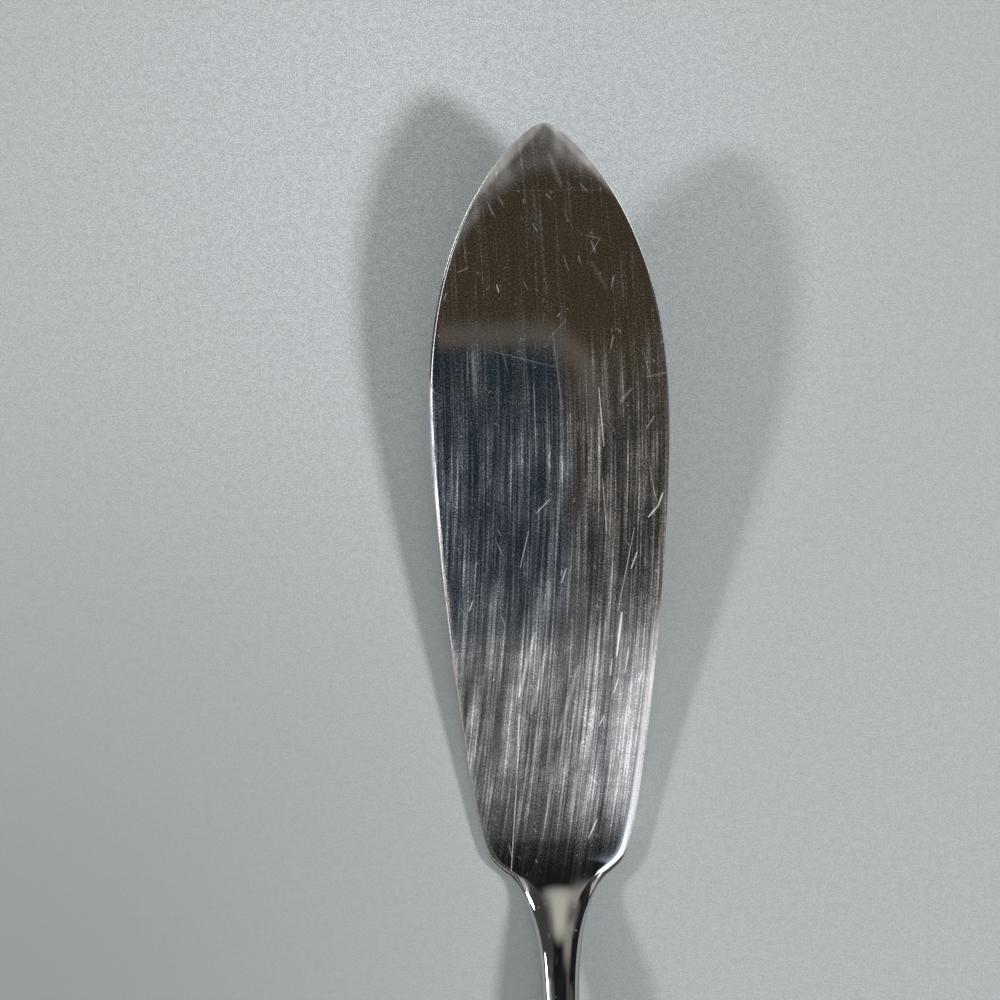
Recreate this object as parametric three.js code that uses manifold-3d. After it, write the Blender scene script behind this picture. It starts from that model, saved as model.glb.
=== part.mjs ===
// Master butter knife with a hollow handle: a forged blade whose notched tang is cemented into a
// handle of two pressed shells, closed at its mouth by a slotted cap.
// Millimetres. +Y runs along the knife to the tip, +X across the blade, +Z up from the table.

import * as THREE from "three";
import { mergeVertices } from "three/addons/utils/BufferGeometryUtils.js";
import Module from "manifold-3d";

// Blade outline. Places along the blade are distances back from the tip.
const bladeWidth = 24.1;
const widestFromTip = 28.2;
const tipBluntness = 2.15;
const tipFullness = 8.9;
const bellyLead = 15.1;
const heelFromTip = 72.2;
const heelWidth = 14.3;
const heelTaperAngle = THREE.MathUtils.degToRad(20);
const heelLead = 3.9;

// Shoulder, neck and bolster outline.
const cornerHeelLead = 1.2;
const cornerShoulderLead = 2.05;
const shoulderLength = 2.7;
const shoulderWidth = 10.7;
const shoulderAngle = THREE.MathUtils.degToRad(50);
const shoulderLead = 0.35;
const neckLength = 13.6;
const neckLead = 12.1;
const neckWidth = 3.72;
const flareLength = 5.2;
const flareNeckLead = 3.4;
const flareLandLead = 0.7;
const landLength = 1.6;

// Blade and neck from the side.
const tipThickness = 0.8;
const heelThickness = 1.4;
const neckThickness = 3.1;
const neckThickeningRun = 10;
const bladeCrown = 0.09;
const neckCrown = 0.3;
const tipEdgeRound = 0.15;
const heelEdgeRound = 0.8;
const edgeFallShare = 0.22;
const neckRoundShare = 0.4;
const heelLift = 0.05;
const tipRise = 10.75;
const tipSweepAngle = THREE.MathUtils.degToRad(11.6);
const tipSweepLead = 17;
const heelSweepLead = 14;
const crankLength = 19.5;
const crankHeelLead = 6.5;
const crankHandleLead = 11;

// Handle. Places along it are distances back from the shells' mouth, behind the cap.
const shellLength = 87.5;
const mouthWidth = 9;
const mouthDepth = 7.6;
const handleWidth = 16.6;
const handleDepth = 8.4;
const widestFromMouth = 70;
const swellMouthLead = 26;
const swellWidestLead = 24;
const deepFromMouth = 14;
const buttLead = 11.5;
const buttSideLead = 5.6;
const buttTopLead = 3.2;
const roundShare = 0.7;
const sheet = 0.8;
const solderThickness = 0.16;

// Mouth cap, tang and cement.
const capThickness = 1;
const skirtLength = 4;
const skirtSheet = 0.6;
const tangLength = 44;
const tangWidth = 4.4;
const tangEndWidth = 3;
const tangThickness = 2.4;
const notchDepth = 0.7;
const notchLength = 3;
const notchPitch = 10;
const notchCount = 3;
const fitGap = 0.15;
const slotGap = 0.3;

// How finely curves are drawn, in steps.
const tipSteps = 16;
const bellySteps = 13;
const cornerSteps = 4;
const neckSteps = 13;
const flareSteps = 8;
const handleSteps = 16;
const buttSteps = 14;
const roundSteps = 5;
const crownSteps = 4;
const overrun = 6;

const wasm = await Module();
wasm.setup();

const brightSteel = { color: 0x8f9294, roughness: 0.16, metalness: 1 };
const pressedSteel = { color: 0x9a9c9d, roughness: 0.2, metalness: 1 };
const solder = { color: 0xa9a8a2, roughness: 0.38, metalness: 1 };
const cement = { color: 0x8b8377, roughness: 0.9, metalness: 0 };

const axisHeight = handleDepth / 2;
const shoulderFromTip = heelFromTip + shoulderLength;
const neckFromTip = shoulderFromTip + neckLength;
const flareEnd = neckFromTip + flareLength;
const bladeReach = flareEnd + landLength;

// A drawn curve between two ends, led out of each by a handle. Points are a place along the
// knife and a height, or vectors of those.
function bezier(...points) {
  const drawn = points.map((point) => (point.isVector2 ? point : new THREE.Vector2(...point)));
  return new THREE.CubicBezierCurve(...drawn);
}

function straight(from, to) {
  return new THREE.LineCurve(new THREE.Vector2(...from), new THREE.Vector2(...to));
}

function profileOf(...pieces) {
  const path = new THREE.CurvePath();
  pieces.forEach((piece) => path.add(piece));
  return path;
}

// Reads a drawn profile as a function: its height at a distance along it.
function readProfile(path) {
  const halvings = 40;
  return (along) => {
    const piece = path.curves.find((curve) => along <= curve.getPoint(1).x) ?? path.curves.at(-1);
    let low = 0;
    let high = 1;
    for (let i = 0; i < halvings; i++) {
      const middle = (low + high) / 2;
      if (piece.getPoint(middle).x < along) low = middle;
      else high = middle;
    }
    return piece.getPoint(high).y;
  };
}

// The places along a drawn profile at which a loft takes its sections.
function placesAlong(path, stepsOfPieces) {
  const places = [path.curves[0].getPoint(0).x];
  path.curves.forEach((curve, piece) => {
    const steps = stepsOfPieces[piece];
    for (let i = 1; i <= steps; i++) places.push(curve.getPoint(i / steps).x);
  });
  return places;
}

// The upper half of a section of the knife, from its right side over the top to its left side:
// a flat middle between two elliptical rounds, with a crown that rises over the whole width.
// The rounds fall to the middle plane, or by a given fall to an upright side. The steps over
// the middle are shortest beside the rounds.
function upperOutline({ halfWidth, halfDepth, round, fall, crown = 0, steps = 1 }) {
  const flat = halfWidth - round;
  const drop = fall ?? halfDepth;
  const crownAt = (x) => (crown > 0 ? crown * (1 - (x / halfWidth) ** 2) : 0);
  const right = fall === undefined ? [] : [[halfWidth, 0]];
  for (let i = 0; i < roundSteps; i++) {
    const angle = ((Math.PI / 2) * i) / roundSteps;
    const x = flat + round * Math.cos(angle);
    right.push([x, halfDepth - drop * (1 - Math.sin(angle)) + crownAt(x)]);
  }
  for (let i = steps; i > 0; i--) {
    const x = flat * Math.sin(((Math.PI / 2) * i) / steps);
    right.push([x, halfDepth + crownAt(x)]);
  }
  const left = right.map(([x, rise]) => [-x, rise]).reverse();
  return [...right, [0, halfDepth + crown], ...left];
}

// Skins a row of rings into one closed solid. Each ring is a pair of lines of points that run
// side by side, and lines that meet, or shrink to a point, close up there.
function skin(rings) {
  const vertices = [];
  const faces = [];
  const quad = (a, b, c, d) => faces.push(a, b, c, a, c, d);
  const lineLength = rings[0].first.length;
  const count = 2 * lineLength;
  for (const { first, second } of rings) {
    vertices.push(...first.flat(), ...[...second].reverse().flat());
  }
  const pointOf = (ring, i) => ring * count + (i % count);
  for (let ring = 0; ring + 1 < rings.length; ring++) {
    for (let i = 0; i < count; i++) {
      quad(pointOf(ring, i), pointOf(ring, i + 1), pointOf(ring + 1, i + 1), pointOf(ring + 1, i));
    }
  }
  const last = rings.length - 1;
  for (let i = 0; i + 1 < lineLength; i++) {
    const facing = count - 1 - i;
    quad(pointOf(0, i + 1), pointOf(0, i), pointOf(0, facing), pointOf(0, facing - 1));
    quad(pointOf(last, i), pointOf(last, i + 1), pointOf(last, facing - 1), pointOf(last, facing));
  }
  const geometry = new THREE.BufferGeometry();
  geometry.setAttribute("position", new THREE.Float32BufferAttribute(vertices, 3));
  geometry.setIndex(faces);
  return toSolid(geometry);
}

// Skins whole sections, each with its lower half like its upper half.
function loft(sections) {
  return skin(sections.map(({ y, z, upper }) => ({
    first: upper.map(([x, rise]) => [x, y, z + rise]),
    second: upper.map(([x, rise]) => [x, y, z - rise]),
  })));
}

function toSolid(geometry) {
  const plain = geometry.clone();
  plain.deleteAttribute("normal");
  plain.deleteAttribute("uv");
  const merged = mergeVertices(plain);
  const vertProperties = new Float32Array(merged.attributes.position.array);
  const corners = merged.index.array;
  const kept = [];
  for (let i = 0; i < corners.length; i += 3) {
    const [a, b, c] = corners.slice(i, i + 3);
    if (a !== b && b !== c && c !== a) kept.push(a, b, c);
  }
  const triVerts = new Uint32Array(kept);
  return new wasm.Manifold(new wasm.Mesh({ numProp: 3, vertProperties, triVerts }));
}

function toMesh(name, solid, finish) {
  const { vertProperties, triVerts } = solid.getMesh();
  const geometry = new THREE.BufferGeometry();
  geometry.setAttribute("position", new THREE.Float32BufferAttribute(vertProperties, 3));
  geometry.setIndex(new THREE.Uint32BufferAttribute(triVerts, 1));
  const mesh = new THREE.Mesh(geometry, new THREE.MeshStandardMaterial(finish));
  mesh.name = name;
  return mesh;
}

// The forging: blade, shoulders, neck and bolster, lofted through sections across the knife.
function forgeBlade() {
  const heel = new THREE.Vector2(heelFromTip, heelWidth / 2);
  const shoulder = new THREE.Vector2(shoulderFromTip, shoulderWidth / 2);
  const taper = new THREE.Vector2(Math.cos(heelTaperAngle), -Math.sin(heelTaperAngle));
  const slope = new THREE.Vector2(Math.cos(shoulderAngle), -Math.sin(shoulderAngle));
  const led = (from, direction, lead) => from.clone().addScaledVector(direction, lead);
  const thickFromTip = neckFromTip - neckThickeningRun;
  const flareStart = neckFromTip + flareNeckLead;
  const restHeight = heelThickness / 2 + heelLift;
  const tipHeight = restHeight + tipRise;
  const crankEnd = heelFromTip + crankLength;

  const widest = [widestFromTip, bladeWidth / 2];
  const belly = [widestFromTip + bellyLead, bladeWidth / 2];
  const neck = [neckFromTip, neckWidth / 2];
  const stem = [neckFromTip - neckLead, neckWidth / 2];
  const land = [flareEnd, mouthWidth / 2];
  const plan = profileOf(
    bezier([0, 0], [0, tipBluntness], [tipFullness, bladeWidth / 2], widest),
    bezier(widest, belly, led(heel, taper, -heelLead), heel),
    bezier(heel, led(heel, taper, cornerHeelLead), led(shoulder, slope, -cornerShoulderLead), shoulder),
    bezier(shoulder, led(shoulder, slope, shoulderLead), stem, neck),
    bezier(neck, [flareStart, neck[1]], [flareEnd, land[1] - flareLandLead], land),
    straight(land, [bladeReach, mouthWidth / 2]),
  );

  const heelDepth = [heelFromTip, heelThickness / 2];
  const neckDepth = [neckFromTip, neckThickness / 2];
  const landDepth = [flareEnd, mouthDepth / 2];
  const depth = profileOf(
    straight([0, tipThickness / 2], heelDepth),
    bezier(heelDepth, [thickFromTip, heelThickness / 2], [thickFromTip, neckThickness / 2], neckDepth),
    bezier(neckDepth, [flareStart, neckDepth[1]], [flareEnd, landDepth[1] - flareLandLead], landDepth),
    straight(landDepth, [bladeReach, mouthDepth / 2]),
  );

  const sweepStart = [tipSweepLead, tipHeight - tipSweepLead * Math.tan(tipSweepAngle)];
  const heelMiddle = [heelFromTip, restHeight];
  const crankStart = [heelFromTip + crankHeelLead, restHeight];
  const middle = profileOf(
    bezier([0, tipHeight], sweepStart, [heelFromTip - heelSweepLead, restHeight], heelMiddle),
    bezier(heelMiddle, crankStart, [crankEnd - crankHandleLead, axisHeight], [crankEnd, axisHeight]),
    straight([crankEnd, axisHeight], [bladeReach, axisHeight]),
  );

  const widthAt = readProfile(plan);
  const depthAt = readProfile(depth);
  const middleAt = readProfile(middle);
  const places = placesAlong(plan, [tipSteps, bellySteps, cornerSteps, neckSteps, flareSteps, 1]);
  const sections = places.map((fromTip) => {
    const halfWidth = fromTip > 0 ? widthAt(fromTip) : 0;
    const neckShare = THREE.MathUtils.smoothstep(fromTip, heelFromTip, thickFromTip);
    const landShare = THREE.MathUtils.smoothstep(fromTip, neckFromTip, flareEnd);
    const edge = THREE.MathUtils.lerp(tipEdgeRound, heelEdgeRound, fromTip / heelFromTip);
    const bladeRound = Math.min(edge, roundShare * halfWidth);
    const neckRound = THREE.MathUtils.lerp(neckRoundShare, roundShare, landShare) * halfWidth;
    const round = THREE.MathUtils.lerp(bladeRound, neckRound, neckShare);
    const noseShare = Math.min(fromTip / tipEdgeRound, 1);
    const nose = Math.sqrt(1 - (1 - noseShare) ** 2);
    const bladeArch = bladeCrown * (halfWidth / widest[1]) ** 2;
    const crown = nose * THREE.MathUtils.lerp(bladeArch, neckCrown * (1 - landShare), neckShare);
    const halfDepth = depthAt(fromTip) * nose - crown;
    const fall = THREE.MathUtils.lerp(edgeFallShare * bladeRound * nose, halfDepth, neckShare);
    const upper = upperOutline({ halfWidth, halfDepth, round, fall, crown, steps: crownSteps });
    return { y: bladeReach - fromTip, z: middleAt(fromTip), upper };
  });
  return loft(sections);
}

// The flat tang, drawn in plan with its notches. Grown by a gap it is the slot that takes it.
function tangShape(gap, root) {
  const widthAt = (along) => THREE.MathUtils.lerp(tangWidth, tangEndWidth, along / tangLength);
  const halfAt = (along) => widthAt(along) / 2 + gap;
  const side = [[halfAt(0), root], [halfAt(0), 0]];
  for (let i = 1; i <= notchCount; i++) {
    const front = i * notchPitch;
    const back = front + notchLength;
    const floor = halfAt((front + back) / 2) - notchDepth;
    side.push([halfAt(front), -front - gap], [floor, -front - gap]);
    side.push([floor, -back + gap], [halfAt(back), -back + gap]);
  }
  side.push([halfAt(tangLength), -tangLength - gap]);
  const otherSide = side.map(([x, y]) => [-x, y]).reverse();
  const outline = [...side, ...otherSide].map(([x, y]) => new THREE.Vector2(x, y));
  const thickness = tangThickness + 2 * gap;
  const rise = { depth: thickness, bevelEnabled: false };
  const tang = new THREE.ExtrudeGeometry(new THREE.Shape(outline), rise);
  tang.translate(0, 0, axisHeight - thickness / 2);
  return toSolid(tang);
}

// Sections of the handle's form, drawn in by an inset. The outer face, the sheet's inner face
// and the cement are the same form at different insets.
function handleSections(inset) {
  const end = shellLength - inset;
  const mouthHalf = mouthWidth / 2 - inset;
  const widestHalf = handleWidth / 2 - inset;
  const swellEnd = widestFromMouth - swellWidestLead;
  const buttStart = widestFromMouth + buttLead;
  const widest = [widestFromMouth, widestHalf];
  const plan = profileOf(
    bezier([0, mouthHalf], [swellMouthLead, mouthHalf], [swellEnd, widestHalf], widest),
    bezier(widest, [buttStart, widestHalf], [end, buttSideLead], [end, 0]),
  );

  const mouthDeep = (mouthDepth - solderThickness) / 2 - inset;
  const deep = (handleDepth - solderThickness) / 2 - inset;
  const deepening = deepFromMouth / 2;
  const depth = profileOf(
    bezier([0, mouthDeep], [deepening, mouthDeep], [deepening, deep], [deepFromMouth, deep]),
    straight([deepFromMouth, deep], [widestFromMouth, deep]),
    bezier([widestFromMouth, deep], [buttStart, deep], [end, buttTopLead], [end, 0]),
  );

  const widthAt = readProfile(plan);
  const depthAt = readProfile(depth);
  return placesAlong(plan, [handleSteps, buttSteps]).map((fromMouth) => {
    const closed = fromMouth >= end;
    const halfWidth = closed ? 0 : widthAt(fromMouth);
    const halfDepth = closed ? 0 : depthAt(fromMouth);
    const upper = upperOutline({ halfWidth, halfDepth, round: roundShare * halfWidth });
    return { fromMouth, y: -capThickness - fromMouth, z: axisHeight, upper };
  });
}

// One pressed half of the handle. Its rim stands half the solder's thickness off the middle.
function pressShell(side) {
  const rim = axisHeight + (side * solderThickness) / 2;
  const faceOf = ({ y, upper }) => upper.map(([x, rise]) => [side * x, y, rim + side * rise]);
  const outer = handleSections(0).map(faceOf);
  const inner = handleSections(sheet).map(faceOf);
  return skin(outer.map((first, i) => ({ first, second: inner[i] })));
}

// The solder between the rims: a thin strip down the right side, round the butt and back.
function runSolder() {
  const [low, high] = [-1, 1].map((side) => axisHeight + (side * solderThickness) / 2);
  const rimOf = (sections) => {
    const right = sections.map(({ y, upper }) => [upper[0][0], y]);
    const left = right.slice(0, -1).map(([x, y]) => [-x, y]);
    return [...right, ...left.reverse()];
  };
  const inner = rimOf(handleSections(sheet));
  return skin(rimOf(handleSections(0)).map(([x, y], i) => ({
    first: [[x, y, high], [...inner[i], high]],
    second: [[x, y, low], [...inner[i], low]],
  })));
}

// The pressed cap: a face as wide as the bolster's land, and a skirt inside the shells.
function pressMouthCap() {
  const blockOf = (inset, front, back) => {
    const halfWidth = mouthWidth / 2 - inset;
    const halfDepth = mouthDepth / 2 - inset;
    const upper = upperOutline({ halfWidth, halfDepth, round: roundShare * halfWidth });
    return loft([front, back].map((behind) => ({ y: -behind, z: axisHeight, upper })));
  };
  const skirtInset = sheet + fitGap;
  const skirtEnd = capThickness + skirtLength;
  const face = blockOf(0, 0, capThickness);
  const skirt = blockOf(skirtInset, capThickness / 2, skirtEnd);
  const hollow = blockOf(skirtInset + skirtSheet, capThickness, skirtEnd + overrun);
  return face.add(skirt).subtract(hollow).subtract(tangShape(slotGap, overrun));
}

// The cement, poured in behind the cap's skirt and round the tang.
function pourCement() {
  const sections = handleSections(sheet + fitGap);
  const start = skirtLength + fitGap;
  const front = sections.findIndex(({ fromMouth }) => fromMouth > start);
  const face = { ...sections[front], y: -capThickness - start };
  return loft([face, ...sections.slice(front)]).subtract(tangShape(slotGap, overrun));
}

const knife = new THREE.Group();
knife.add(
  toMesh("blade", forgeBlade().add(tangShape(0, landLength)), brightSteel),
  toMesh("mouth_cap", pressMouthCap(), pressedSteel),
  toMesh("handle_front_shell", pressShell(1), pressedSteel),
  toMesh("handle_back_shell", pressShell(-1), pressedSteel),
  toMesh("seam_solder", runSolder(), solder),
  toMesh("tang_cement", pourCement(), cement),
);
knife.position.y = (capThickness + shellLength - bladeReach) / 2;

const part = new THREE.Group();
part.add(knife);
export default part;
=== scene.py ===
import math

import bpy
from mathutils import Euler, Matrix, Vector


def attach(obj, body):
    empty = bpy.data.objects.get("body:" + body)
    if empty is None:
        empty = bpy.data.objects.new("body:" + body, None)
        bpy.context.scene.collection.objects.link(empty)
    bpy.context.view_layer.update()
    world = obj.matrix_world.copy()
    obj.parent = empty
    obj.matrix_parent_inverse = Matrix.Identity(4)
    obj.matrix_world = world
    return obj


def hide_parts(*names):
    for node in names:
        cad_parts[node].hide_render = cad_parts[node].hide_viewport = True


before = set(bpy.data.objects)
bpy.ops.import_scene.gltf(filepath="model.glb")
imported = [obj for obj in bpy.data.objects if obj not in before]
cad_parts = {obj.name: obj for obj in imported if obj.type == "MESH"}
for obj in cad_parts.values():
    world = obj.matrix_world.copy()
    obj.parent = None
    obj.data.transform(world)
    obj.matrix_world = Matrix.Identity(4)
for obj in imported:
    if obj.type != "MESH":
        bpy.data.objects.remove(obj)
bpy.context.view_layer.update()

MM = 0.001


# Table. A pale grey-green surface under the knife, with a fine grain. A painted pool of light makes it
# palest beside the blade's tip, and painted shade darkens it towards the near left. It isn't part of the
# knife.
table_size = 6.0
table_drop = 0.02 * MM
table_colour = (0.505, 0.548, 0.548, 1)
# Painted light: the colour of the pool of light painted beside the blade's tip.
painted_light_colour = (0.68, 0.715, 0.74, 1)
# Painted shade: the colour the table is darkened to towards the near left.
painted_shade_colour = (0.32, 0.34, 0.338, 1)
grain_dark = (0.394, 0.432, 0.437, 1)
fine_grains_per_metre, fine_share = 7000, 0.8
coarse_grains_per_metre, coarse_share = 1500, 0.2
grain_tone = (0.36, 0.64)
painted_light_centre, painted_light_radius = (-10 * MM, 94 * MM), 62 * MM
painted_shade_centre, painted_shade_radius, deepest_painted_shade_radius = (-65 * MM, -5 * MM), 85 * MM, 5 * MM
table_roughness = 0.9
table_specular = 0.2


def add_node(tree, kind, inputs=None, **settings):
    """Adds a node with its settings. An input takes a number, a colour or another node's output."""
    node = tree.nodes.new(kind)
    for name, value in settings.items():
        setattr(node, name, value)
    for name, value in (inputs or {}).items():
        if isinstance(value, bpy.types.NodeSocket):
            tree.links.new(value, node.inputs[name])
        else:
            node.inputs[name].default_value = value
    return node


def compute(tree, operation, *values):
    """The output of one sum on one or two values."""
    return add_node(tree, "ShaderNodeMath", dict(enumerate(values)), operation=operation).outputs[0]


def times(tree, first, *others):
    for other in others:
        first = compute(tree, "MULTIPLY", first, other)
    return first


def plus(tree, first, *others):
    for other in others:
        first = compute(tree, "ADD", first, other)
    return first


def mix_colour(tree, share, first, second):
    node = add_node(tree, "ShaderNodeMix", {0: share, 6: first, 7: second}, data_type="RGBA")
    return node.outputs[2]


def rise(tree, value, start, end):
    """A smooth rise from 0 at start to 1 at end. Where start is above end it falls instead."""
    low, high = sorted((start, end))
    ends = {3: 0.0, 4: 1.0} if start < end else {3: 1.0, 4: 0.0}
    inputs = {0: value, 1: low, 2: high, **ends}
    return add_node(tree, "ShaderNodeMapRange", inputs, interpolation_type="SMOOTHSTEP").outputs[0]


def noise(tree, place, scale, detail=0.0):
    inputs = {"Vector": place, "Scale": scale, "Detail": detail}
    return add_node(tree, "ShaderNodeTexNoise", inputs).outputs[0]


def distance(tree, place, centre):
    inputs = {0: place, 1: (*centre, 0)}
    return add_node(tree, "ShaderNodeVectorMath", inputs, operation="DISTANCE").outputs["Value"]


def new_material(name):
    """A material with a Principled shader, and the object coordinates that its patterns read."""
    material = bpy.data.materials.new(name)
    material.use_nodes = True
    tree = material.node_tree
    shader = tree.nodes["Principled BSDF"]
    place = add_node(tree, "ShaderNodeTexCoord").outputs["Object"]
    return material, tree, shader, place


def dress(piece, material):
    piece.data.materials.clear()
    piece.data.materials.append(material)


bpy.ops.object.select_all(action="DESELECT")
bpy.ops.mesh.primitive_plane_add(size=table_size, location=(0, 0, -table_drop))
table = bpy.context.object
table.name = "table"
table_finish, tree, shader, place = new_material("pale_table")
# Painted light: the table's colour is made paler round a centre beside the tip.
painted_light = rise(tree, distance(tree, place, painted_light_centre), painted_light_radius, 0.0)
base = mix_colour(tree, painted_light, table_colour, painted_light_colour)
fine = times(tree, noise(tree, place, fine_grains_per_metre, 1.0), fine_share)
coarse = times(tree, noise(tree, place, coarse_grains_per_metre, 1.0), coarse_share)
grains = rise(tree, plus(tree, fine, coarse), *grain_tone)
base = mix_colour(tree, grains, base, grain_dark)
# Painted shade: the table's colour is made darker towards the near left.
painted_shade = rise(tree, distance(tree, place, painted_shade_centre), painted_shade_radius, deepest_painted_shade_radius)
tree.links.new(mix_colour(tree, painted_shade, base, painted_shade_colour), shader.inputs["Base Color"])
shader.inputs["Roughness"].default_value = table_roughness
shader.inputs["Specular IOR Level"].default_value = table_specular
dress(table, table_finish)


# Blade. One steel forging with its shoulders, neck, bolster and hidden tang, ground and polished
# bright. Years of washing up have scratched it lengthwise, most on the half nearer the neck.
bolster_back = -3.4 * MM
steel_dull = (0.43, 0.44, 0.45, 1)
steel_bright = (0.69, 0.705, 0.72, 1)
worn_colour = (0.6, 0.61, 0.62, 1)
# Painted reflections: the bluish and the warm tints of the wear.
wear_blue_reflection = (0.5, 0.57, 0.65, 1)
wear_warm_reflection = (0.66, 0.6, 0.54, 1)
# Partly a painted reflection: the colour of the tip's pale scuff.
tip_scuff_and_reflection = (0.63, 0.62, 0.6, 1)
bare_scratch = (0.95, 0.95, 0.95, 1)
polished_roughness = 0.02
worn_roughness = 0.4
lost_metal_shine = 0.9
merge_distance = 0.001 * MM
quad_bend, quad_skew = math.radians(50), math.radians(180)
subdivisions = 2
edge_margin = 0.01 * MM

# How worn the steel is at places along the blade, in millimetres, and by how much more it is worn
# on the right: over the half nearer the neck, at the heel, and beyond the middle. A fade gives the
# two places between which something comes in or goes out.
lengthwise_wear = [
    (15, 0.005), (17.5, 0.009), (20, 0.035), (22.5, 0.14), (25, 0.26), (31, 0.265), (38, 0.24),
    (42, 0.11), (50, 0.07), (60, 0.075), (66, 0.04), (70, 0.02), (72, 0.008), (92, 0.007),
]
low_right_wear = 0.6
heel_right_wear = 0.42
upper_right_wear = 0.3
right_side_fade = (-3 * MM, 7 * MM)
low_half_fade = (52 * MM, 44 * MM)
heel_fade = (40 * MM, 26 * MM)
upper_part_start, upper_part_end = (46 * MM, 52 * MM), (68 * MM, 60 * MM)

# Scouring: lines and runs to the metre, lean in radians, and strength. Its tones are stronger
# beyond the middle of the blade, and stronger again near the tip.
scouring = [
    (6000, 110, 0.0, 0.35), (3000, 80, 0.03, 0.24), (1300, 50, -0.02, 0.17), (450, 40, 0.08, 0.18),
    (900, 90, 0.2, 0.13),
]
clouds = [(1200, 0.08), (350, 0.12)]
grits_per_metre = 6000
grit_strength = 0.17
grain_wear = 0.008
neck_fade = (16 * MM, 20 * MM)
middle_contrast, middle_fade = 0.4, (42 * MM, 48 * MM)
tip_contrast, tip_fade = 0.5, (66 * MM, 74 * MM)
crowding = 0.6

# Nicks: strength, cells to the metre, lean and swing in radians, and a size in shares of a cell.
# Most are read level, and one kind follows the sweep of the blade.
level_nicks = [
    (0.3, dict(cells_per_metre=300, lean=-0.3, swing=1.2, half_length=0.28, half_width=0.035, share=0.6)),
    (0.3, dict(cells_per_metre=700, lean=-0.2, swing=3.0, half_length=0.2, half_width=0.08, share=0.55)),
    (0.25, dict(cells_per_metre=90, lean=-0.25, swing=1.2, half_length=0.4, half_width=0.01, share=0.5)),
]
swept_nicks = [
    (0.25, dict(cells_per_metre=140, swing=0.5, half_length=0.45, half_width=0.014, share=0.5)),
]

# The scuffed tip begins at an arch, and its smears are given by lines and runs to the metre; its pale
# scuff is partly wear and partly a painted reflection. The tip's rim is rubbed pale, partly wear and
# partly a painted highlight, and the right edge has a painted highlight from its lower middle to the
# heel.
arch_axis = 1 * MM
arch_fall = 80.0
scuff_fade = (86.4 * MM, 89 * MM)
coarse_smears, coarse_strength = (350, 220), 0.25
middling_smears, middling_strength = (1200, 700), 0.13
scuff_and_reflection_strength = 0.155
rim_axis = 0.1 * MM
rim_slant = 1.05
rim_fade, rim_start = (91.3 * MM, 92.3 * MM), (82 * MM, 86 * MM)
# Partly wear, partly a painted highlight: the tip's pale rim.
rim_wear_and_highlight = 0.25
edge_top = 42.1 * MM
edge_lean, edge_bend = 0.105, 2.2
# Painted highlight: a white strip along the right edge from its lower middle to the heel.
glint_fade = (10.05 * MM, 10.5 * MM)
glint_start, glint_end = (17 * MM, 20 * MM), (45 * MM, 41 * MM)
painted_glint_strength = 0.4

# Where the wear is tinted with a painted reflection, bluish on the left and warm on the right. The most
# worn metal is bare.
tinted_start, tinted_end = (35 * MM, 50 * MM), (75 * MM, 69 * MM)
bluish_fade, warm_fade = (4 * MM, 0.0), (1 * MM, 4 * MM)
bare_fade = (0.35, 0.9)
grit_fade = (-1.8, 1.8)
tint_strength = 4.0

# Deep scratches: start, end and half width in millimetres, and strength.
deep_scratches = [
    ((5.0, 65.4), (5.4, 59.6), 0.09, 0.7),
    ((5.2, 56.4), (5.5, 51.1), 0.08, 0.45),
    ((0.5, 71.0), (1.3, 63.4), 0.09, 0.22),
    ((-6.1, 69.4), (0.6, 67.6), 0.09, 0.16),
    ((1.9, 72.3), (-0.1, 70.2), 0.09, 0.2),
    ((-0.1, 54.4), (-1.5, 53.0), 0.09, 0.55),
    ((11.2, 54.8), (10.7, 53.5), 0.11, 0.8),
    ((10.7, 53.5), (9.7, 52.4), 0.11, 0.8),
    ((10.5, 62.5), (9.7, 61.3), 0.09, 0.4),
    ((8.5, 48.9), (7.9, 47.3), 0.1, 0.7),
    ((8.3, 51.4), (6.5, 43.1), 0.09, 0.4),
    ((-2.3, 51.2), (-3.2, 47.6), 0.09, 0.5),
    ((1.4, 47.4), (0.9, 46.0), 0.1, 0.6),
    ((-8.0, 44.4), (-8.4, 43.3), 0.1, 0.6),
    ((11.8, 66.8), (9.7, 66.4), 0.2, 0.14),
    ((8.3, 65.3), (7.1, 64.0), 0.25, 0.18),
    ((-1.5, 66.0), (-1.4, 58.8), 0.09, 0.25),
    ((6.9, 42.9), (6.3, 38.6), 0.16, 0.9),
    ((7.5, 39.4), (7.1, 36.9), 0.11, 0.7),
    ((5.8, 38.2), (5.6, 36.6), 0.11, 0.6),
    ((6.4, 36.3), (5.9, 34.8), 0.11, 0.6),
    ((-3.6, 32.7), (-3.8, 28.3), 0.11, 0.5),
    ((-3.8, 28.3), (-4.7, 17.2), 0.11, 0.5),
    ((-1.9, 41.0), (-3.6, 34.7), 0.3, 0.3),
    ((-0.6, 39.6), (-2.4, 33.0), 0.35, 0.22),
    ((2.4, 37.6), (0.3, 30.6), 0.35, 0.2),
    ((4.0, 22.2), (3.1, 20.3), 0.1, 0.7),
    ((4.9, 32.6), (4.4, 31.6), 0.1, 0.6),
    ((8.9, 37.1), (8.5, 36.0), 0.1, 0.6),
    ((-7.8, 77.6), (-8.9, 77.2), 0.08, 0.3),
    ((-5.0, 75.9), (-4.8, 75.1), 0.1, 0.6),
    ((1.7, 78.7), (2.2, 77.1), 0.08, 0.25),
    ((-1.3, 81.9), (-0.8, 81.0), 0.08, 0.3),
    ((4.0, 80.6), (5.4, 80.3), 0.08, 0.25),
    ((5.4, 80.3), (4.4, 78.7), 0.08, 0.25),
    ((3.2, 78.6), (3.4, 77.9), 0.09, 0.35),
    ((4.5, 78.0), (5.9, 75.3), 0.3, 0.07),
    ((-4.7, 84.7), (-4.2, 83.7), 0.08, 0.25),
    ((-3.9, 85.2), (5.5, 85.1), 0.08, 0.07),
    ((0.5, 88.7), (1.6, 85.6), 0.4, 0.12),
]


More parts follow.
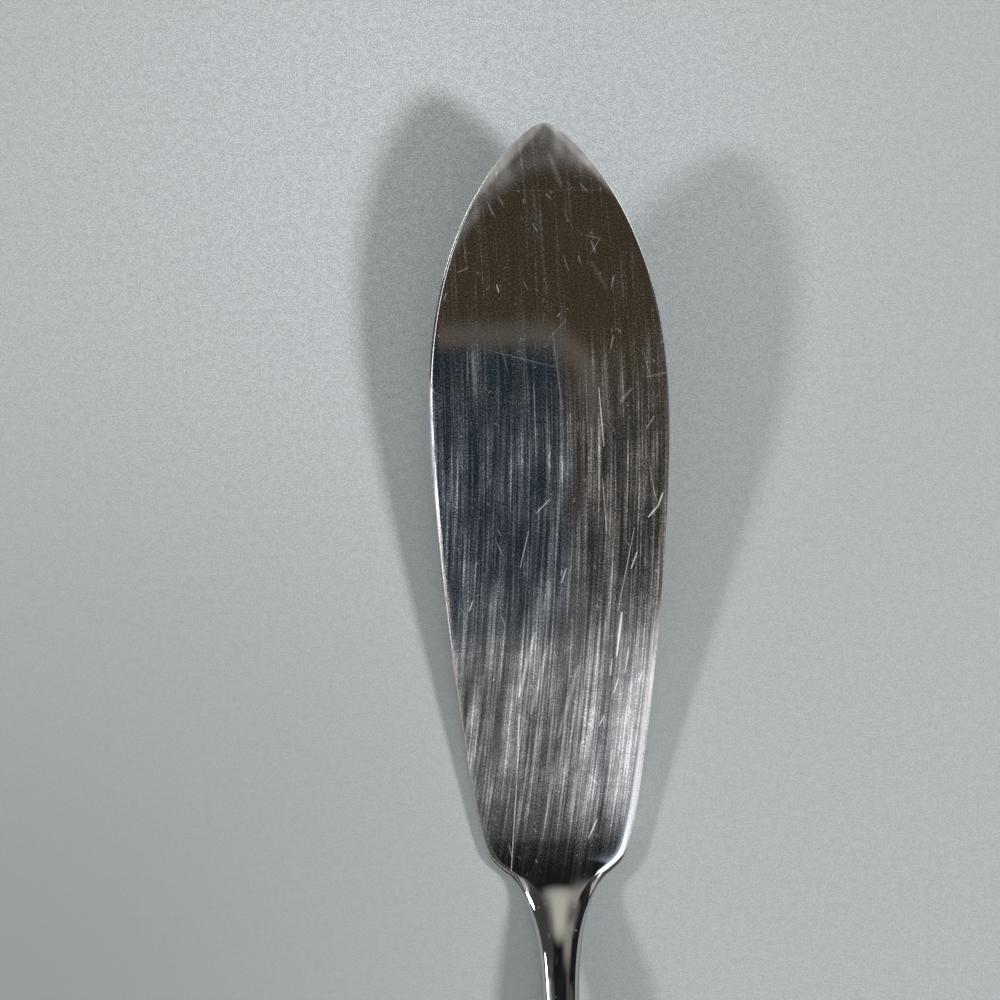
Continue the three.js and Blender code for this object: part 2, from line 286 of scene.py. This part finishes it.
def refine(node, name, sharp):
    """A copy of a CAD node with its doubles merged, its sharp edges creased and then subdivided."""
    piece = bpy.data.objects.new(name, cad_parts[node].data.copy())
    bpy.context.scene.collection.objects.link(piece)
    bpy.ops.object.select_all(action="DESELECT")
    piece.select_set(True)
    bpy.context.view_layer.objects.active = piece
    bpy.ops.object.mode_set(mode="EDIT")
    bpy.ops.mesh.select_all(action="SELECT")
    bpy.ops.mesh.remove_doubles(threshold=merge_distance)
    bpy.ops.mesh.tris_convert_to_quads(face_threshold=quad_bend, shape_threshold=quad_skew)
    bpy.ops.object.mode_set(mode="OBJECT")
    creases = piece.data.attributes.new("crease_edge", "FLOAT", "EDGE")
    points = [vertex.co for vertex in piece.data.vertices]
    for edge in piece.data.edges:
        creases.data[edge.index].value = sharp(*(points[i] for i in edge.vertices))
    smooth = piece.modifiers.new("fine_surface", "SUBSURF")
    smooth.levels = smooth.render_levels = subdivisions
    bpy.ops.object.modifier_apply(modifier=smooth.name)
    bpy.ops.object.shade_smooth()
    return piece


def blade_crease(first, second):
    """The bolster's back and the tang behind it keep their edges."""
    behind = bolster_back + edge_margin
    return 1.0 if first.y < behind and second.y < behind else 0.0


blade = refine("blade", "forged_blade", blade_crease)


def new_group(name, inputs, output):
    """A shader node group with one output. The start value of an input also tells its kind."""
    tree = bpy.data.node_groups.new(name, "ShaderNodeTree")
    for label, start in inputs.items():
        kind = "NodeSocketFloat" if isinstance(start, (int, float)) else "NodeSocketVector"
        socket = tree.interface.new_socket(label, in_out="INPUT", socket_type=kind)
        if kind == "NodeSocketFloat":
            socket.default_value = start
    tree.interface.new_socket(output, in_out="OUTPUT", socket_type="NodeSocketFloat")
    return tree, add_node(tree, "NodeGroupInput").outputs, add_node(tree, "NodeGroupOutput").inputs


def use_group(tree, group, place, **values):
    """One layer of a group's pattern, with its own values."""
    node = add_node(tree, "ShaderNodeGroup", node_tree=group)
    tree.links.new(place, node.inputs["Place"])
    for name, value in values.items():
        node.inputs[name.replace("_", " ").capitalize()].default_value = value
    return node.outputs[0]


def combine(tree, operation, *vectors, output="Vector"):
    """The output of one sum on one or two vectors."""
    node = add_node(tree, "ShaderNodeVectorMath", dict(enumerate(vectors)), operation=operation)
    return node.outputs[output]


def turn(tree, vector, angle):
    inputs = {"Vector": vector, "Angle": angle}
    return add_node(tree, "ShaderNodeVectorRotate", inputs, rotation_type="Z_AXIS").outputs[0]


def minus(tree, first, second):
    return compute(tree, "SUBTRACT", first, second)


# Long scratches that run nearly one way, as a scouring pad leaves them. Their tone is 0 on the
# whole, and seldom beyond 2 either way.
tone_scale = 8.0
scour, given, result = new_group(
    "scour",
    {"Place": (0, 0, 0), "Lean": 0.0, "Lines per metre": 6000.0, "Runs per metre": 200.0},
    "Tone",
)
stretch = add_node(
    scour, "ShaderNodeCombineXYZ",
    {0: given["Lines per metre"], 1: given["Runs per metre"], 2: given["Runs per metre"]},
).outputs[0]
lines = combine(scour, "MULTIPLY", turn(scour, given["Place"], given["Lean"]), stretch)
swell = minus(scour, noise(scour, lines, 1.0), 0.5)
scour.links.new(times(scour, swell, tone_scale), result["Tone"])

# Short nicks, one to a cell, each turned, bowed, sized and shown by chance.
most_bow = 0.35
least_length = 0.2
full_end = 0.3
nicks, given, result = new_group(
    "nicks",
    {
        "Place": (0, 0, 0), "Cells per metre": 300.0, "Lean": 0.0, "Swing": 0.5,
        "Half length": 0.3, "Half width": 0.02, "Share": 0.4,
    },
    "Mask",
)
flat = combine(nicks, "MULTIPLY", given["Place"], given["Cells per metre"])
cell = add_node(
    nicks, "ShaderNodeTexVoronoi", {"Vector": flat, "Scale": 1.0}, voronoi_dimensions="2D",
).outputs
chance = add_node(nicks, "ShaderNodeSeparateColor", {0: cell["Color"]}).outputs
offset = combine(nicks, "SUBTRACT", flat, cell["Position"])
swing = times(nicks, minus(nicks, chance[0], 0.5), given["Swing"])
turned = turn(nicks, offset, plus(nicks, swing, given["Lean"]))
parts = add_node(nicks, "ShaderNodeSeparateXYZ", {0: turned}).outputs
bend = times(nicks, minus(nicks, chance[1], 0.5), most_bow)
bow = times(nicks, parts[1], parts[1], bend)
off_line = compute(nicks, "ABSOLUTE", minus(nicks, parts[0], bow))
off_line = compute(nicks, "DIVIDE", off_line, given["Half width"])
along = compute(nicks, "DIVIDE", compute(nicks, "ABSOLUTE", parts[1]), given["Half length"])
along = compute(nicks, "DIVIDE", along, plus(nicks, chance[1], least_length))
body = times(nicks, rise(nicks, off_line, 1.0, 0.0), rise(nicks, along, 1.0, full_end))
shown = minus(nicks, 1.0, compute(nicks, "DIVIDE", chance[2], given["Share"]))
shown = compute(nicks, "MAXIMUM", shown, 0.0)
nicks.links.new(times(nicks, body, times(nicks, shown, shown)), result["Mask"])

# One scratch from a start to an end, widest in its middle.
end_width = 0.6
middle_swell = 1.6
scratch, given, result = new_group(
    "scratch",
    {"Place": (0, 0, 0), "Start": (0, 0, 0), "End": (0, 0, 0), "Half width": 0.0001},
    "Mask",
)
reach = combine(scratch, "SUBTRACT", given["End"], given["Start"])
away = combine(scratch, "SUBTRACT", given["Place"], given["Start"])
run = combine(scratch, "DOT_PRODUCT", away, reach, output="Value")
whole = combine(scratch, "DOT_PRODUCT", reach, reach, output="Value")
share = add_node(scratch, "ShaderNodeClamp", {0: compute(scratch, "DIVIDE", run, whole)}).outputs[0]
nearest = add_node(
    scratch, "ShaderNodeVectorMath", {0: reach, "Scale": share}, operation="SCALE",
).outputs[0]
gap = combine(scratch, "DISTANCE", away, nearest, output="Value")
taper = times(scratch, share, minus(scratch, 1.0, share))
width = plus(scratch, end_width, times(scratch, taper, middle_swell))
width = times(scratch, given["Half width"], width)
mask = minus(scratch, 1.0, compute(scratch, "DIVIDE", gap, width))
scratch.links.new(compute(scratch, "MAXIMUM", mask, 0.0), result["Mask"])

# The scouring follows the swept blade, so its lines are read along a bent coordinate.
straight_length = 29 * MM
sweep_lean, sweep_bend = 0.13, 1.93
blade_finish, tree, shader, place = new_material("scratched_bright_steel")
sides = add_node(tree, "ShaderNodeSeparateXYZ", {0: place}).outputs
side, length = sides[0], sides[1]
from_heel = minus(tree, length, straight_length)
slope = minus(tree, sweep_lean, times(tree, from_heel, sweep_bend))
straight = minus(tree, side, times(tree, from_heel, slope))
swept = add_node(tree, "ShaderNodeCombineXYZ", {0: straight, 1: length, 2: 0.0}).outputs[0]
level = add_node(tree, "ShaderNodeCombineXYZ", {0: side, 1: length, 2: 0.0}).outputs[0]

# The wear of each place, from its length along the blade and its side.
wear_start, wear_end = lengthwise_wear[0][0], lengthwise_wear[-1][0]
wear_share = add_node(
    tree, "ShaderNodeMapRange", {0: length, 1: wear_start * MM, 2: wear_end * MM},
).outputs[0]
ramp = add_node(tree, "ShaderNodeValToRGB", {0: wear_share})
stops = ramp.color_ramp.elements
for place_along, _ in lengthwise_wear[1:-1]:
    stops.new((place_along - wear_start) / (wear_end - wear_start))
for stop, (_, amount) in zip(stops, lengthwise_wear):
    stop.color = (amount, amount, amount, 1)
right_side = rise(tree, side, *right_side_fade)
low_half = rise(tree, length, *low_half_fade)
heel = rise(tree, length, *heel_fade)
upper_part = times(tree, rise(tree, length, *upper_part_start), rise(tree, length, *upper_part_end))
low_extra = plus(tree, low_right_wear, times(tree, heel, heel_right_wear))
low_extra = times(tree, right_side, low_half, low_extra)
upper_extra = times(tree, right_side, upper_part, upper_right_wear)
extra = plus(tree, low_extra, upper_extra)
zone = times(tree, ramp.outputs[0], plus(tree, 1.0, extra))


def scour_tone(tree, place, lines_per_metre, runs_per_metre, lean=0.0):
    """One layer of scouring."""
    return use_group(
        tree, scour, place, lines_per_metre=lines_per_metre, runs_per_metre=runs_per_metre, lean=lean,
    )


# The tones of all the scouring are added up and then swell or thin the wear of their zone. The
# neck, which the scouring doesn't reach, has no grit.
grit = scour_tone(tree, level, grits_per_metre, grits_per_metre)
grit = times(tree, grit, rise(tree, length, *neck_fade))
total = times(tree, grit, grit_strength)
for lines_per_metre, runs_per_metre, lean, strength in scouring:
    tone = scour_tone(tree, swept, lines_per_metre, runs_per_metre, lean)
    total = plus(tree, total, times(tree, tone, strength))
for clouds_per_metre, strength in clouds:
    tone = scour_tone(tree, level, clouds_per_metre, clouds_per_metre)
    total = plus(tree, total, times(tree, tone, strength))
middle_extra = times(tree, rise(tree, length, *middle_fade), middle_contrast)
tip_extra = times(tree, rise(tree, length, *tip_fade), tip_contrast)
contrast = plus(tree, 1.0, middle_extra, tip_extra)
haze = times(tree, zone, compute(tree, "EXPONENT", times(tree, total, contrast)))
haze = compute(tree, "DIVIDE", haze, plus(tree, 1.0, times(tree, haze, crowding)))
haze = compute(tree, "MAXIMUM", plus(tree, haze, times(tree, grit, grain_wear)), 0.0)

for follows, kinds in ((level, level_nicks), (swept, swept_nicks)):
    for strength, kind in kinds:
        mask = use_group(tree, nicks, follows, **kind)
        haze = plus(tree, haze, times(tree, mask, strength))

# The tip is scuffed beyond an arch, unevenly, its pale scuff partly a painted reflection, and rubbed pale
# along its rim, partly a painted highlight.
from_arch_axis = minus(tree, side, arch_axis)
arch = times(tree, from_arch_axis, from_arch_axis, arch_fall)
scuff_and_reflection_mask = rise(tree, plus(tree, length, arch), *scuff_fade)
coarse = times(tree, scour_tone(tree, level, *coarse_smears), coarse_strength)
middling = times(tree, scour_tone(tree, level, *middling_smears), middling_strength)
smear = compute(tree, "EXPONENT", plus(tree, coarse, middling))
haze = plus(tree, haze, times(tree, scuff_and_reflection_mask, smear, scuff_and_reflection_strength))
beside_tip = compute(tree, "ABSOLUTE", minus(tree, side, rim_axis))
rim = rise(tree, plus(tree, length, times(tree, beside_tip, rim_slant)), *rim_fade)
rim = times(tree, rim, rise(tree, length, *rim_start))
haze = plus(tree, haze, times(tree, rim, rim_wear_and_highlight))

# A painted highlight: the right edge is painted white from its lower middle to the heel.
below = minus(tree, edge_top, length)
inset = times(tree, below, plus(tree, edge_lean, times(tree, below, edge_bend)))
painted_glint = rise(tree, plus(tree, side, inset), *glint_fade)
painted_glint_length = times(tree, rise(tree, length, *glint_start), rise(tree, length, *glint_end))
haze = plus(tree, haze, times(tree, painted_glint, painted_glint_length, painted_glint_strength))

for start, end, half_width, strength in deep_scratches:
    node = add_node(tree, "ShaderNodeGroup", node_tree=scratch)
    tree.links.new(level, node.inputs["Place"])
    node.inputs["Start"].default_value = (start[0] * MM, start[1] * MM, 0)
    node.inputs["End"].default_value = (end[0] * MM, end[1] * MM, 0)
    node.inputs["Half width"].default_value = half_width * MM
    haze = plus(tree, haze, times(tree, node.outputs[0], strength))
haze = compute(tree, "MINIMUM", haze, 1.0)

# Wear is tinted with a painted reflection, bluish on the left of the blade and warm on the right, and a
# deep scratch is bare.
tinted = times(tree, rise(tree, length, *tinted_start), rise(tree, length, *tinted_end))
blue_reflection_zone = times(tree, rise(tree, side, *bluish_fade), tinted)
warm_reflection_zone = times(tree, rise(tree, side, *warm_fade), tinted)
wear = mix_colour(tree, blue_reflection_zone, worn_colour, wear_blue_reflection)
wear = mix_colour(tree, warm_reflection_zone, wear, wear_warm_reflection)
wear = mix_colour(tree, scuff_and_reflection_mask, wear, tip_scuff_and_reflection)
wear = mix_colour(tree, rise(tree, haze, *bare_fade), wear, bare_scratch)
steel = mix_colour(tree, rise(tree, grit, *grit_fade), steel_dull, steel_bright)
tint = compute(tree, "MINIMUM", times(tree, haze, tint_strength), 1.0)
tree.links.new(mix_colour(tree, tint, steel, wear), shader.inputs["Base Color"])
metallic = minus(tree, 1.0, times(tree, haze, lost_metal_shine))
tree.links.new(metallic, shader.inputs["Metallic"])
roughness = add_node(tree, "ShaderNodeMapRange", {0: haze, 3: polished_roughness, 4: worn_roughness})
tree.links.new(roughness.outputs[0], shader.inputs["Roughness"])
dress(blade, blade_finish)
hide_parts("blade")
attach(blade, "root")


# Mouth cap. A small cap pressed from steel sheet. It closes the handle's mouth behind the bolster,
# and the tang goes through its slot.
handle_colour = (0.67, 0.68, 0.69, 1)
handle_worn = (0.76, 0.77, 0.78, 1)
handle_roughness = 0.12
smudge_roughness = 0.16
mark_roughness = 0.2
smudges_per_metre = 110
hair_strength = 0.6
hair_fade, cross_fade = (0.6, 2.2), (1.5, 2.6)
cap_edge = 0.9


def cap_crease(first, second):
    """Every edge stays nearly sharp."""
    return cap_edge


cap = refine("mouth_cap", "pressed_mouth_cap", cap_crease)
handle_finish, tree, shader, place = new_material("polished_pressed_steel")
hair = scour_tone(tree, place, 5000, 150, lean=0.02)
hair = times(tree, rise(tree, hair, *hair_fade), hair_strength)
cross = scour_tone(tree, place, 5000, 450, lean=0.5)
cross = times(tree, rise(tree, cross, *cross_fade), hair_strength)
short = use_group(
    tree, nicks, place, cells_per_metre=320, swing=6.0, half_length=0.3, half_width=0.025, share=0.3,
)
marks = compute(tree, "MAXIMUM", compute(tree, "MAXIMUM", short, cross), hair)
tree.links.new(mix_colour(tree, marks, handle_colour, handle_worn), shader.inputs["Base Color"])
smudges = noise(tree, place, smudges_per_metre, 3.0)
roughness = plus(tree, handle_roughness, times(tree, smudges, smudge_roughness))
roughness = plus(tree, roughness, times(tree, marks, mark_roughness))
tree.links.new(roughness, shader.inputs["Roughness"])
shader.inputs["Metallic"].default_value = 1.0
dress(cap, handle_finish)
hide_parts("mouth_cap")
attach(cap, "root")


# Handle shells. Two halves pressed from steel sheet, soldered rim to rim and polished together. The
# knife lies on a flat strip under the back one.
shell_mouth = bolster_back - 1 * MM
shell_middle = 4.2 * MM
rim_reach = 0.09 * MM


def shell_crease(first, second):
    """The rims and the mouth keep their edges."""
    near_rim = all(abs(point.z - shell_middle) < rim_reach for point in (first, second))
    at_mouth = all(point.y > shell_mouth - edge_margin for point in (first, second))
    return 1.0 if near_rim or at_mouth else 0.0


for node, name in (("handle_front_shell", "front_shell"), ("handle_back_shell", "back_shell")):
    shell = refine(node, name, shell_crease)
    dress(shell, handle_finish)
    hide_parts(node)
    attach(shell, "root")


# Seam solder. A hairline of solder between the two shells' rims, round the sides and the butt. It is
# filed flush, and duller than the steel.
solder_colour = (0.62, 0.61, 0.59, 1)
solder_dull = (0.45, 0.44, 0.42, 1)
solder_roughness = (0.3, 0.5)
solder_grains_per_metre = 900.0
seam = refine("seam_solder", "filed_seam_solder", lambda first, second: 1.0)
solder_finish, tree, shader, place = new_material("filed_solder")
dull = noise(tree, place, solder_grains_per_metre, 3.0)
tree.links.new(mix_colour(tree, dull, solder_colour, solder_dull), shader.inputs["Base Color"])
roughness = add_node(
    tree, "ShaderNodeMapRange", {0: dull, 3: solder_roughness[0], 4: solder_roughness[1]},
)
tree.links.new(roughness.outputs[0], shader.inputs["Roughness"])
shader.inputs["Metallic"].default_value = 1.0
dress(seam, solder_finish)
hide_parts("seam_solder")
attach(seam, "root")


# Tang cement. Grey-brown cement poured into the handle round the tang, whose notches it grips. It
# stays out of sight.
cement_pale = (0.62, 0.58, 0.52, 1)
cement_dark = (0.46, 0.42, 0.37, 1)
cement_roughness = 0.95
cement_grains_per_metre = 1400.0
cement_relief = 0.1 * MM
cement_finish, tree, shader, place = new_material("poured_cement")
sand = noise(tree, place, cement_grains_per_metre, 4.0)
tree.links.new(mix_colour(tree, sand, cement_pale, cement_dark), shader.inputs["Base Color"])
bump = add_node(tree, "ShaderNodeBump", {"Height": sand, "Distance": cement_relief})
tree.links.new(bump.outputs[0], shader.inputs["Normal"])
shader.inputs["Roughness"].default_value = cement_roughness
dress(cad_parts["tang_cement"], cement_finish)


# Studio. Two soft lamps, one to each side, and a room that the polished steel mirrors: a brown
# ceiling with a dark opening overhead, and pale walls low down. The steel mirrors the left lamp
# as a wide soft glow, and the right one not at all.
lamp_distance = 1.2
lamp_aim = Vector((0, 50 * MM, 0))
right_bearing = (10.8, -3.0, 11.5)
left_bearing = (-18.7, 3.5, 11.5)
lamps = {
    "right_lamp": {"towards": right_bearing, "watts": 8.7, "size": 0.21, "mirrored": False},
    "left_lamp": {"towards": left_bearing, "watts": 6.9, "size": 0.15, "mirrored": False},
    "left_glow": {"towards": left_bearing, "watts": 6.9, "size": 0.4, "mirrored": True},
}
for name, facts in lamps.items():
    towards = Vector(facts["towards"]).normalized()
    data = bpy.data.lights.new(name, "AREA")
    data.shape = "DISK"
    data.size = facts["size"]
    data.energy = facts["watts"]
    lamp = bpy.data.objects.new(name, data)
    lamp.location = lamp_aim + towards * lamp_distance
    lamp.rotation_euler = towards.to_track_quat("Z", "Y").to_euler()
    lamp.visible_camera = False
    lamp.visible_glossy = facts["mirrored"]
    lamp.visible_diffuse = not facts["mirrored"]
    bpy.context.scene.collection.objects.link(lamp)

world = bpy.data.worlds.new("studio")
bpy.context.scene.world = world
world.use_nodes = True
tree = world.node_tree
tree.nodes.clear()
direction = add_node(tree, "ShaderNodeTexCoord").outputs["Generated"]
axes = add_node(tree, "ShaderNodeSeparateXYZ", {0: direction}).outputs
back = times(tree, axes[1], -1.0)
height = axes[2]

# Angles in degrees: lean from straight up towards the handle, across from straight up towards the
# right, and bearing round the horizon.
lean = compute(tree, "DEGREES", compute(tree, "ARCTAN2", back, height))
across = compute(tree, "DEGREES", compute(tree, "ARCTAN2", axes[0], height))
bearing = compute(tree, "DEGREES", compute(tree, "ARCTAN2", axes[0], back))


def band(value, start, full, last, end):
    """1 between two soft edges: it rises from start to full and falls from last to end."""
    return times(tree, rise(tree, value, start, full), rise(tree, value, end, last))


def lay(room, colour, first, second):
    """Lays a patch of colour over the room where both masks show it."""
    return mix_colour(tree, times(tree, first, second), room, (*colour, 1))


def lay_patches(room, patches):
    """Lays patches that are each given by a colour and by their bands of across and of lean."""
    for colour, across_band, lean_band in patches:
        room = lay(room, colour, band(across, *across_band), band(lean, *lean_band))
    return room


# The room as a whole, with a pale wall beyond the handle and a window beyond the blade's tip.
low_room = (0.45, 0.48, 0.48, 1)
high_room = (0.1, 0.094, 0.088, 1)
wall_colour = (0.9, 0.89, 0.87)
window_colour = (1.6, 1.65, 1.7)
room = mix_colour(tree, rise(tree, height, 0.0, 0.08), low_room, high_room)
wall = band(bearing, -40, -30, 18, 26)
room = lay(room, wall_colour, wall, band(height, 0.02, 0.08, 0.62, 0.68))
window = band(bearing, -178, -174, -158, -152)
room = lay(room, window_colour, window, band(height, 0.07, 0.09, 0.26, 0.28))

# The ceiling, as the flat of the blade mirrors it: dark overhead, then grey, then brown, and dim
# brown on the right.
room = lay_patches(room, [
    ((0.01, 0.011, 0.013), (-12, -9, 9, 12), (-40, -35, 1, 5)),
    ((0.035, 0.035, 0.037), (-12, -9, 9, 12), (-2, 8, 14.5, 15.8)),
    ((0.066, 0.047, 0.029), (-3.5, -2.6, 4, 6), (16.6, 17.6, 21.5, 23)),
    ((0.032, 0.029, 0.026), (0.5, 0.9, 3, 5), (14.5, 16.5, 18.1, 18.7)),
])

# A navy opening in the ceiling, round at its right corner, with a tan rim.
opening_lean = 18.86
opening_right = 0.05
corner_squeeze = 0.6
tan = (0.16, 0.13, 0.1)
navy = (0.015, 0.028, 0.042)


def rounded(radius):
    """The lean, bent down round the opening's right corner."""
    centre = opening_lean - radius
    over = compute(tree, "MAXIMUM", minus(tree, lean, centre), 0.0)
    beside = compute(tree, "MAXIMUM", minus(tree, across, opening_right), 0.0)
    beside = times(tree, beside, corner_squeeze)
    reach = plus(tree, times(tree, over, over), times(tree, beside, beside))
    return plus(tree, compute(tree, "SQRT", reach), centre)


tan_wide = times(tree, band(across, -2.4, -1.6, 1.3, 1.7), rise(tree, lean, 18.2, 18.5))
room = lay(room, tan, tan_wide, band(rounded(0.5), 18.78, 18.92, 18.98, 19.08))
navy_wide = times(tree, band(across, -4, -2.5, 0.38, 0.6), rise(tree, lean, 15, 16))
room = lay(room, navy, navy_wide, rise(tree, rounded(0.25), 18.89, 18.84))

# A narrow bright lamp on the left, warm at its near end, that the left edge of the blade mirrors.
room = lay_patches(room, [
    ((4.0, 4.0, 4.0), (-9, -7.5, -4.5, -3.5), (17.6, 17.85, 18.3, 18.45)),
    ((1.0, 0.62, 0.35), (-14, -12, -9, -7.5), (16.9, 17.2, 18.0, 18.2)),
    ((4.0, 4.0, 4.0), (-14, -12, -9, -7.5), (18.0, 18.3, 18.7, 18.9)),
    ((2.2, 2.2, 2.2), (-30, -26, -14, -12), (18.4, 18.8, 19.5, 20)),
    ((0.5, 0.4, 0.3), (-55, -50, -30, -26), (18.6, 19, 23.5, 24.5)),
    ((0.75, 0.7, 0.65), (-75, -65, -30, -26), (20.8, 21.2, 24, 25)),
    ((0.5, 0.5, 0.5), (-60, -50, -18, -14), (-14, -11, 4, 6)),
])

# A pale screen on the right, that the right edge of the blade mirrors.
room = lay_patches(room, [
    ((0.5, 0.56, 0.66), (1, 3.2, 13.5, 14.5), (-12, -9, 15, 15.9)),
    ((1.9, 1.9, 1.9), (4.5, 6, 12, 14), (-12, -9, 15.9, 16.4)),
    ((1.8, 1.8, 1.8), (12, 14, 28, 32), (0, 3, 13.4, 14.6)),
    ((0.6, 0.6, 0.6), (28, 32, 60, 70), (-12, -9, 18, 21)),
])

# The far end of the room, behind the blade's tip, that the neck mirrors.
room = lay_patches(room, [
    ((0.015, 0.015, 0.015), (15, 17, 80, 90), (-80, -75, -18, -14)),
    ((0.07, 0.068, 0.065), (-80, -70, -12, -6), (-53, -50, -30, -24)),
    ((0.17, 0.16, 0.145), (-14, -8, 20, 50), (-53, -50, -41, -36)),
    ((0.38, 0.35, 0.31), (2, 11, 13, 20), (-44, -41, -35, -18)),
    ((0.7, 0.66, 0.58), (-10, -1, 2, 13), (-50, -46, -43.8, -32)),
    ((1.6, 1.66, 1.75), (-87, -83, -58, -10), (-20, -17, -11, -8)),
])
background = add_node(tree, "ShaderNodeBackground", {"Color": room, "Strength": 1.0})
add_node(tree, "ShaderNodeOutputWorld", {"Surface": background.outputs[0]})


# Camera. It looks straight down on the blade, as the photograph does, turned a little so that the
# knife leans to the left by as much.
view_width = 100 * MM
camera_height = 1.6
camera_lift = 5 * MM
camera_lean = math.radians(-1.13)
middle_of_view = (-5.09 * MM, 54.4 * MM)
camera = bpy.data.objects.new("camera", bpy.data.cameras.new("camera"))
camera.data.lens = camera.data.sensor_width * camera_height / view_width
camera.location = (*middle_of_view, camera_height + camera_lift)
camera.rotation_euler = Euler((0, 0, camera_lean))
bpy.context.scene.collection.objects.link(camera)
bpy.context.scene.camera = camera
bpy.context.scene.view_settings.view_transform = "Standard"
